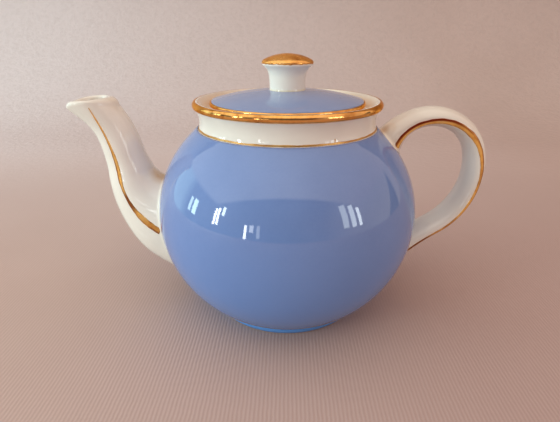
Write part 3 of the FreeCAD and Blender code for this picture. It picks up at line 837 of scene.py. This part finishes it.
# Gilding, in shades from dark to bright
BRIGHT_GOLD = [(0.58, 0.22, 0.05), (0.90, 0.45, 0.125), (0.96, 0.56, 0.20)]
THIN_GOLD = [(0.46, 0.22, 0.07), (0.66, 0.36, 0.12), (0.78, 0.47, 0.18)]
STRIPE_GOLD = [(0.66, 0.26, 0.05), (1.0, 0.54, 0.13), (1.0, 0.66, 0.25)]
# Burnt gold, also used for painted dark reflections
BURNT_GOLD_AND_DARK_REFLECTION = (0.22, 0.042, 0.010)
# Painted dark reflection on a stripe's outer edge
EDGE_DARK_REFLECTION = (0.24, 0.024, 0.004)
GOLD_EDGE = (1.0, 0.70, 0.40)
# Darkened places on both sides, their sizes in millimetres, and whether only the stripe's outer edge is
# darkened; those on the spout and along the handle's upper outer edge are painted dark reflections
STRIPE_DARK_PLACES = [
    ((-90.0, 16.2, 68.0), 9.0, False), ((76.0, 10.0, 114.0), 34.0, True), ((80.0, 9.0, 40.0), 14.0, False),
]


class Net:
    """Net of shader nodes in a material or the world, with short ways to add to it."""

    def __init__(self, owner, space="Object"):
        owner.use_nodes = True
        self.tree = owner.node_tree
        self.tree.nodes.clear()
        self.where = self.add("TexCoord")[space]

    def add(self, kind, inputs=None, **settings):
        """Outputs of a new node of a kind, with its inputs linked or set."""
        node = self.tree.nodes.new("ShaderNode" + kind)
        for name, value in settings.items():
            setattr(node, name, value)
        for name, value in (inputs or {}).items():
            socket = node.inputs[name]
            if isinstance(value, bpy.types.NodeSocket):
                self.tree.links.new(value, socket)
            else:
                socket.default_value = (*value, 1.0) if socket.type == "RGBA" else value
        return node.outputs

    def axes(self):
        """X, Y and Z of a place on the surface, or of a direction in the world."""
        parts = self.add("SeparateXYZ", {"Vector": self.where})
        return parts["X"], parts["Y"], parts["Z"]

    def noise(self, scale, detail=2.0, roughness=0.5):
        inputs = {"Vector": self.where, "Scale": scale, "Detail": detail, "Roughness": roughness}
        return self.add("TexNoise", inputs)["Fac"]

    def ramp(self, factor, stops):
        """Colour ramp over (place, colour) stops."""
        result = self.add("ValToRGB", {"Fac": factor})["Color"]
        elements = result.node.color_ramp.elements
        while len(elements) < len(stops):
            elements.new(0.5)
        for element, (place, shade) in zip(elements, stops):
            element.position = place
            element.color = (*shade, 1.0)
        return result

    def mottled(self, shades, *grain, places=(0.3, 0.7)):
        """Shades spread by a noise."""
        return self.ramp(self.noise(*grain), list(zip(places, shades)))

    def maths(self, operation, first, *others):
        for other in others:
            first = self.add("Math", {0: first, 1: other}, operation=operation)["Value"]
        return first

    def times(self, *values):
        return self.maths("MULTIPLY", *values)

    def most(self, *values):
        return self.maths("MAXIMUM", *values)

    def fade(self, value, low, high, first=0.0, last=1.0, **settings):
        """Number that goes from first to last as a value goes from low to high."""
        inputs = {"Value": value, "From Min": low, "From Max": high, "To Min": first, "To Max": last}
        return self.add("MapRange", inputs, **settings)["Result"]

    def near(self, spot, inner, outer):
        """1 close to a spot, in millimetres, fading to 0 further out."""
        ends = {0: self.where, 1: [value * MM for value in spot]}
        gap = self.add("VectorMath", ends, operation="DISTANCE")["Value"]
        return self.fade(gap, inner * MM, outer * MM, 1.0, 0.0, interpolation_type="SMOOTHSTEP")

    def specks(self, scale, size, share):
        """1 inside small round specks, in a share of the cells of a random pattern."""
        pattern = {"Vector": self.where, "Scale": scale, "Randomness": 1.0}
        cells = self.add("TexVoronoi", pattern)
        dot = self.fade(cells["Distance"], size, size * 0.6)
        parts = self.add("SeparateColor", {"Color": cells["Color"]})
        return self.times(dot, self.maths("LESS_THAN", parts["Red"], share))

    def tint(self, tone, shade, mask, strength=None):
        """Tone with a shade mixed in where a mask says, up to a strength."""
        factor = mask if strength is None else self.times(mask, strength)
        return self.add("Mix", {"Factor": factor, 6: tone, 7: shade}, data_type="RGBA")[2]

    def surface(self, bumps, **inputs):
        """Surface with bumps: a height or a noise's values, a strength, and a distance in millimetres."""
        for height, strength, distance in bumps:
            height = self.noise(*height) if isinstance(height, tuple) else height
            layer = {"Height": height, "Strength": strength, "Distance": distance * MM}
            if "Normal" in inputs:
                layer["Normal"] = inputs["Normal"]
            inputs["Normal"] = self.add("Bump", layer)["Normal"]
        named = {name.replace("_", " "): value for name, value in inputs.items()}
        shader = self.add("BsdfPrincipled", named)
        self.add("OutputMaterial", {"Surface": shader["BSDF"]})


def new_material(name):
    material = bpy.data.materials.new(name)
    return material, Net(material)


def white_glaze():
    material, net = new_material("white_glaze")
    x, y, z = net.axes()
    level = net.add("CombineXYZ", {"X": x, "Y": y})["Vector"]
    radius = net.add("VectorMath", {0: level}, operation="LENGTH")["Value"]
    tone = net.mottled(CREAM, 45.0, 3.0)
    # The spout below its mouth is a purer white
    purer = net.times(net.fade(x, *PURER_ACROSS), net.fade(z, *PURER_BELOW))
    tone = net.tint(tone, PURER_WHITE, purer, 0.65)
    # Painted warm light on the spout's side towards the pot, and yellowing with use mixed with painted warm
    # light at the handle's upper end
    aged_and_warm_lit = net.most(net.near(HANDLE_AGED_AND_WARM_LIT, 6.0, 32.0), net.near(SPOUT_WARM_LIGHT, 6.0, 34.0))
    tone = net.tint(tone, YELLOWING_AND_WARM_LIGHT, aged_and_warm_lit, 0.6)
    # Painted shade darkens the top of the handle's bend
    tone = net.tint(tone, HANDLE_TOP_SHADE, net.near(HANDLE_TOP_SHADE_MIDDLE, 16.0, 34.0), 0.85)
    # Tea and kiln stains in the creases by the spout and the handle
    blotch = net.fade(net.noise(200.0, 3.0, 0.6), 0.35, 0.7, 0.6, 1.0)
    stains = [net.times(net.near(spot, size * 0.15, size), net.times(blotch, depth))
              for spot, size, depth in STAINS]
    tone = net.tint(tone, TEA_STAIN, net.most(*stains))
    # Painted shade and painted gold reflection in the dish round the lid's edge, and a yellowed line at the
    # knob's foot
    dish_shade_and_reflection = net.times(net.fade(radius, *DISH_FADE, 1.0, 0.25), net.fade(z, *DISH_ABOVE),
                        net.fade(radius, *DISH_INNER), net.fade(radius, *DISH_OUTER))
    tone = net.tint(tone, DISH_SHADE_AND_GOLD_REFLECTION, dish_shade_and_reflection, 0.9)
    at_foot = net.times(net.fade(z, *KNOB_LINE_HIGH), net.fade(z, *KNOB_LINE_LOW),
                        net.fade(radius, *KNOB_LINE_REACH))
    tone = net.tint(tone, KNOB_LINE, at_foot, 0.5)
    tone = net.tint(tone, BROWN_SPECK, net.specks(160.0, 0.10, 0.02), 0.8)
    # The ring that the pot stands on is bare clay
    bare = net.fade(z, *BARE_BELOW)
    tone = net.tint(tone, BARE_CLAY, bare)
    gloss = net.most(net.fade(net.noise(120.0), 0.3, 0.7, 0.015, 0.04), net.times(bare, 0.8))
    bumps = [((90.0, 1.0), 0.16, 0.10), ((420.0, 2.0), 0.05, 0.04)]
    net.surface(bumps, Base_Color=tone, Roughness=gloss, IOR=1.55)
    return material


def blue_glaze(name, shades):
    material, net = new_material(name)
    x, y, z = net.axes()
    tone = net.mottled(shades, 30.0, 4.0, 0.6)
    tone = net.tint(tone, BLUE_GRAIN, net.fade(net.noise(900.0, 2.0), 0.35, 0.65), 0.10)
    tone = net.tint(tone, BLUE_SPECK, net.specks(110.0, 0.07, 0.012), 0.7)
    # The coat is deeper low down, its greener blue there partly painted cyan light, and pools thicker and
    # brighter where it runs on to the foot ring
    tone = net.tint(tone, LOW_BLUE, net.fade(z, *LOW_BELOW, 0.0, 0.7))
    tone = net.tint(tone, POOLED_BLUE, net.fade(z, *POOLED_BELOW), 0.8)
    gloss = net.fade(net.noise(100.0), 0.3, 0.7, 0.02, 0.045)
    bumps = [((70.0, 1.0), 0.18, 0.12), ((380.0, 2.0), 0.06, 0.04)]
    net.surface(bumps, Base_Color=tone, Roughness=gloss, IOR=1.72)
    return material


def gold(name, shades, smoothest, roughest, metal=1.0, dark_places=()):
    """Fired gilding that is smoky and worn, darkened in dashes along its edges as partly burnt gold and
    partly painted dark reflection, with a painted dark reflection along a stripe's outer side and darkened
    places.
    """
    material, net = new_material(name)
    from_edge, outer_edge = (net.add("Attribute", attribute_name=attribute)["Fac"]
                             for attribute in ("from_edge", "outer_edge"))
    tone = net.mottled(shades, 160.0, 4.0, 0.65, places=(0.28, 0.45, 0.72))
    smoky = net.fade(net.noise(62.0, 2.0), 0.52, 0.66)
    worn = net.fade(net.noise(700.0, 3.0, 0.7), 0.62, 0.72)
    # Dark dashes along the edges: partly burnt gold, partly painted dark reflection
    dashes = net.times(net.fade(from_edge, 0.40, 0.05), net.fade(net.noise(330.0, 3.0, 0.6), 0.50, 0.58))
    # Painted dark reflection along a stripe's outer side, where it curves over the tube's edge
    dark_side_reflection = net.times(net.fade(outer_edge, 0.55, 0.75), net.fade(net.noise(45.0, 2.0), 0.35, 0.50))
    for mask, strength in ((smoky, 0.4), (worn, 0.45), (dashes, 0.85), (dark_side_reflection, 0.8)):
        tone = net.tint(tone, BURNT_GOLD_AND_DARK_REFLECTION, mask, strength)
    # Darkened places: painted dark reflections on the spout and along the handle's upper outer edge
    for (x, y, z), size, outer_only in dark_places:
        for side in (-y, y):
            spot = net.times(net.near((x, side, z), size * 0.3, size), 0.85)
            if outer_only:
                spot = net.times(spot, net.fade(outer_edge, 0.50, 0.70, 0.0, 1.15))
            tone = net.tint(tone, EDGE_DARK_REFLECTION if outer_only else BURNT_GOLD_AND_DARK_REFLECTION, spot)
    gloss = net.fade(net.noise(240.0, 3.0), 0.3, 0.7, smoothest, roughest)
    bumps = [((260.0, 2.0), 0.5, 0.14), ((1200.0, 2.0), 0.15, 0.04)]
    net.surface(bumps, Base_Color=tone, Metallic=metal, Roughness=gloss, Specular_Tint=GOLD_EDGE)
    return material


STRIPE_FINISH = gold("stripe_gold", STRIPE_GOLD, 0.06, 0.16, metal=0.55, dark_places=STRIPE_DARK_PLACES)
THIN_FINISH = gold("thin_gold", THIN_GOLD, 0.30, 0.50, metal=0.8)
CAP_FINISH = gold("cap_gold", BRIGHT_GOLD, 0.12, 0.30, metal=0.85)
LID_FINISH = blue_glaze("lid_blue", LID_BLUE)
FINISHES = {
    "white_glaze": white_glaze(),
    "blue_glaze": blue_glaze("blue_glaze", BODY_BLUE),
    "bright_gold": gold("bright_gold", BRIGHT_GOLD, 0.05, 0.14),
}

# Pieces of the pot
dress("pot_body", drilled(skin(turned(pot_profile()), caps=True), strainer_pins()))
body_glaze()
dress("spout", skin(spout_rows(), loop=True))
dress("handle", skin(handle_rows(), caps=True))
dress("rim_gilt_band", gilt_ring(rim_curve, BEAD_START + 3.0, 86.0, seed=11, sway=4.0))
shoulder_line = gilt_ring(collar_curve, SHOULDER_HEIGHT - 0.05, 110.15, seed=21, sway=0.2, thickness=0.1)
dress("shoulder_gilt_line", shoulder_line, THIN_FINISH)
spout_stripes()
handle_stripes()

# Pieces of the lid
vent = [((0.0, VENT_DISTANCE, SEAT_HEIGHT), (0.0, 0.0, 1.0), VENT_LENGTH, VENT_RADIUS)]
dress("lid", drilled(skin(turned(lid_profile()), caps=True), vent))
dress("lid_blue_glaze", drilled(skin(turned(lid_glaze_profile()), loop=True), vent), LID_FINISH)
dress("lid_knob", skin(turned(knob_profile(), KNOB_SEGMENTS), caps=True))
dress("lid_gilt_line", gilt_ring(lid_edge_curve, 4.0, 190.0, seed=41, sway=7.0))
dress("knob_gilt_cap", knob_cap(), CAP_FINISH)

# Floor that sweeps up into a backdrop, in metres
FLOOR_SIDE, FLOOR_FRONT, FLOOR_BACK = 1.6, -2.2, 0.45
SWEEP_RADIUS, BACKDROP_TOP = 0.4, 1.5
CLOTH = [(0.515, 0.375, 0.33), (0.555, 0.41, 0.365)]
# Painted shade on the cloth towards the front and the right
CLOTH_SHADE = (0.45, 0.303, 0.272)
# Painted window light on the backdrop
BACKDROP_WINDOW_LIGHT = (0.66, 0.585, 0.585)
RIB_SHADE = (0.30, 0.20, 0.18)
PLASTER_SHADE = (0.34, 0.27, 0.25)
FAR_SHADE = (0.10, 0.075, 0.07)


def make_floor():
    line = [(y, 0.0) for y in np.linspace(FLOOR_FRONT, FLOOR_BACK, 13)]
    line += [(FLOOR_BACK + SWEEP_RADIUS * sin(turn), SWEEP_RADIUS * (1.0 - cos(turn)))
             for turn in np.linspace(0.0, pi / 2.0, 17)[1:]]
    line += [(FLOOR_BACK + SWEEP_RADIUS, z) for z in np.linspace(SWEEP_RADIUS, BACKDROP_TOP, 5)[1:]]
    verts = [(x, y, z) for y, z in line for x in (-FLOOR_SIDE, FLOOR_SIDE)]
    faces = [(2 * row, 2 * row + 1, 2 * row + 3, 2 * row + 2) for row in range(len(line) - 1)]
    floor = placed("floor", made_mesh(verts, faces))
    material, net = new_material("floor_cloth")
    x, y, z = net.axes()
    tone = net.mottled(CLOTH, 6.0, 3.0)
    # Painted shade: the cloth is darker towards the front and the right
    painted_cloth_shade = net.times(net.fade(x, -0.16, 0.10), net.fade(y, 0.60, -0.06))
    tone = net.tint(tone, CLOTH_SHADE, painted_cloth_shade)
    # Painted light: the backdrop pales towards the side of the windows
    painted_window_light = net.times(net.fade(x, 0.35, -0.50), net.fade(y, 0.0, 0.35), net.fade(z, 0.05, 0.30, 1.0, 0.7))
    tone = net.tint(tone, BACKDROP_WINDOW_LIGHT, painted_window_light)
    # Ribbed cloth in front, rough plaster behind
    wave = {"Vector": net.where, "Scale": 165.0, "Distortion": 1.2, "Detail": 2.0}
    ribs = net.add("TexWave", wave)["Fac"]
    ribs = net.times(ribs, net.fade(y, 0.30, 0.15))
    tone = net.tint(tone, RIB_SHADE, ribs, 0.16)
    plaster = net.times(net.noise(110.0, 3.0, 0.6), net.fade(y, 0.15, 0.40))
    tone = net.tint(tone, PLASTER_SHADE, net.fade(plaster, 0.45, 0.62, 0.0, 0.10))
    # The far edges lie close to the lamps, and are darker so that they don't glare
    far_left = net.times(net.fade(x, -1.10, -1.55), net.fade(y, 0.45, 0.20, 0.40, 1.0))
    tone = net.tint(tone, FAR_SHADE, net.most(far_left, net.fade(y, -1.40, -2.10)), 0.8)
    bumps = [(ribs, 0.25, 0.3), (plaster, 0.5, 3.0), ((60.0, 4.0), 0.15, 0.5)]
    net.surface(bumps, Base_Color=tone, Roughness=0.92)
    floor.data.materials.append(material)


make_floor()

# Light: a pale ceiling over darker walls, and window-like soft boxes low on both sides
WALLS = [
    (0.0, (0.26, 0.30, 0.34)), (0.5, (0.15, 0.14, 0.15)), (0.74, (0.15, 0.10, 0.11)),
    (0.92, (0.76, 0.60, 0.54)), (1.0, (0.78, 0.64, 0.54)),
]
CEILING = [(0.0, (1.18, 1.24, 1.24)), (0.5, (1.24, 1.11, 0.96)), (1.0, (0.82, 0.59, 0.52))]
DOORWAY = (0.14, 0.13, 0.14)
WINDOW_GLOW = (1.05, 1.45, 1.50)
BACKGROUND = (0.56, 0.43, 0.38)


def make_world():
    world = bpy.data.worlds.new("studio")
    bpy.context.scene.world = world
    net = Net(world, "Generated")
    x, y, z = net.axes()
    across = net.fade(x, -1.0, 1.0)
    walls = net.ramp(across, WALLS)
    # A dark doorway stands in the wall on the right, and light from the windows lies on the left
    lean = net.maths("SUBTRACT", y, net.times(z, 0.7))
    doorway = net.times(net.fade(lean, 0.09, 0.11), net.fade(y, 0.35, 0.33), net.fade(x, 0.5, 0.6))
    walls = net.tint(walls, DOORWAY, doorway)
    glow = net.times(net.fade(x, -0.45, -0.75), net.fade(y, 0.05, 0.22))
    walls = net.tint(walls, WINDOW_GLOW, glow)
    # A box-shaped room: the ceiling is seen above the tops of the walls before, behind and beside
    slopes = ((y, -0.83), (y, 0.55), (x, -0.42), (x, 0.42))
    wall_top = net.most(*(net.times(axis, slope) for axis, slope in slopes))
    above = net.fade(net.maths("SUBTRACT", z, wall_top), -0.03, 0.03)
    room = net.tint(walls, net.ramp(across, CEILING), above)
    light, seen = (net.add("Background", {"Color": shade, "Strength": 1.0})["Background"]
                   for shade in (room, BACKGROUND))
    camera_ray = net.add("LightPath")["Is Camera Ray"]
    pick = net.add("MixShader", {"Fac": camera_ray, 1: light, 2: seen})
    net.add("OutputWorld", {"Surface": pick["Shader"]})


make_world()

# Soft lamps: azimuth from -Y towards +X, elevation, width and height in degrees, radiance, tint
PANES = [
    (-89.2, 7.8, 3.0, 10.0, 6.0, (0.72, 1.0, 0.96)),
    (-83.4, 8.2, 4.4, 11.0, 8.0, (0.72, 1.0, 0.96)),
    (-61.4, 10.2, 1.9, 13.4, 17.0, (0.93, 0.98, 1.0)),
    (-58.6, 11.2, 2.0, 14.0, 17.0, (0.93, 0.98, 1.0)),
    (-54.5, 17.0, 2.6, 7.6, 11.0, (0.85, 1.0, 1.0)),
    (-33.2, 4.0, 2.4, 14.0, 12.0, (0.95, 0.97, 1.0)),
    (-28.2, 8.6, 3.4, 6.6, 4.5, (0.92, 0.97, 1.0)),
    (-22.6, 6.6, 2.6, 12.0, 2.2, (0.92, 0.97, 1.0)),
    (49.2, 15.0, 5.0, 20.0, 3.0, (0.86, 0.97, 1.0)),
    (56.4, 13.2, 4.2, 18.4, 4.4, (0.86, 0.97, 1.0)),
    (62.4, 10.8, 2.8, 15.0, 6.5, (0.88, 0.98, 1.0)),
]
# Broad lamps that light the pot without showing in its glaze, with a distance at the end
FILLS = [
    (-70.0, 9.0, 34.0, 22.0, 6.2, (0.75, 1.08, 1.08), 2.0),
    (-14.0, 28.0, 30.0, 26.0, 0.35, (0.97, 0.80, 0.82), 2.6),
    (40.0, 30.0, 30.0, 30.0, 0.4, (1.0, 0.58, 0.38), 2.6),
]
PANE_DISTANCE = 2.6
LAMP_AIM = Vector((0.0, 0.0, 0.075))


def make_lamp(name, azimuth, elevation, wide, tall, radiance, tint, distance):
    """Flat lamp that faces the pot and is as bright all over as its radiance says."""
    bearing, rise = radians(azimuth), radians(elevation)
    out = Vector((sin(bearing) * cos(rise), -cos(bearing) * cos(rise), sin(rise)))
    lamp = bpy.data.lights.new(name, "AREA")
    lamp.shape = "RECTANGLE"
    lamp.size = 2.0 * distance * tan(radians(wide / 2.0))
    lamp.size_y = 2.0 * distance * tan(radians(tall / 2.0))
    lamp.energy = pi * lamp.size * lamp.size_y * radiance
    lamp.color = tint
    stand = placed(name, lamp)
    stand.location = LAMP_AIM + out * distance
    stand.rotation_mode = "QUATERNION"
    stand.rotation_quaternion = out.to_track_quat("Z", "Y")
    stand.visible_camera = False
    return stand


for index, pane in enumerate(PANES):
    make_lamp("pane_%d" % index, *pane, PANE_DISTANCE)
for index, fill in enumerate(FILLS):
    make_lamp("fill_%d" % index, *fill).visible_glossy = False

# Camera at the photograph's place, for an image of 560 by 422
IMAGE_WIDTH = 560.0
FOCAL_PIXELS = 421.0
CAMERA_PLACE = (0.0, -0.2377, 0.1580)
CAMERA_DIP, CAMERA_TURN = radians(23.11), radians(0.98)
camera = bpy.data.cameras.new("camera")
camera.sensor_width = 36.0
camera.lens = FOCAL_PIXELS / IMAGE_WIDTH * camera.sensor_width
camera.clip_start = 0.01
eye = placed("camera", camera)
eye.location = CAMERA_PLACE
eye.rotation_euler = (pi / 2.0 - CAMERA_DIP, 0.0, CAMERA_TURN)
bpy.context.scene.camera = eye
bpy.context.scene.view_settings.view_transform = "Standard"
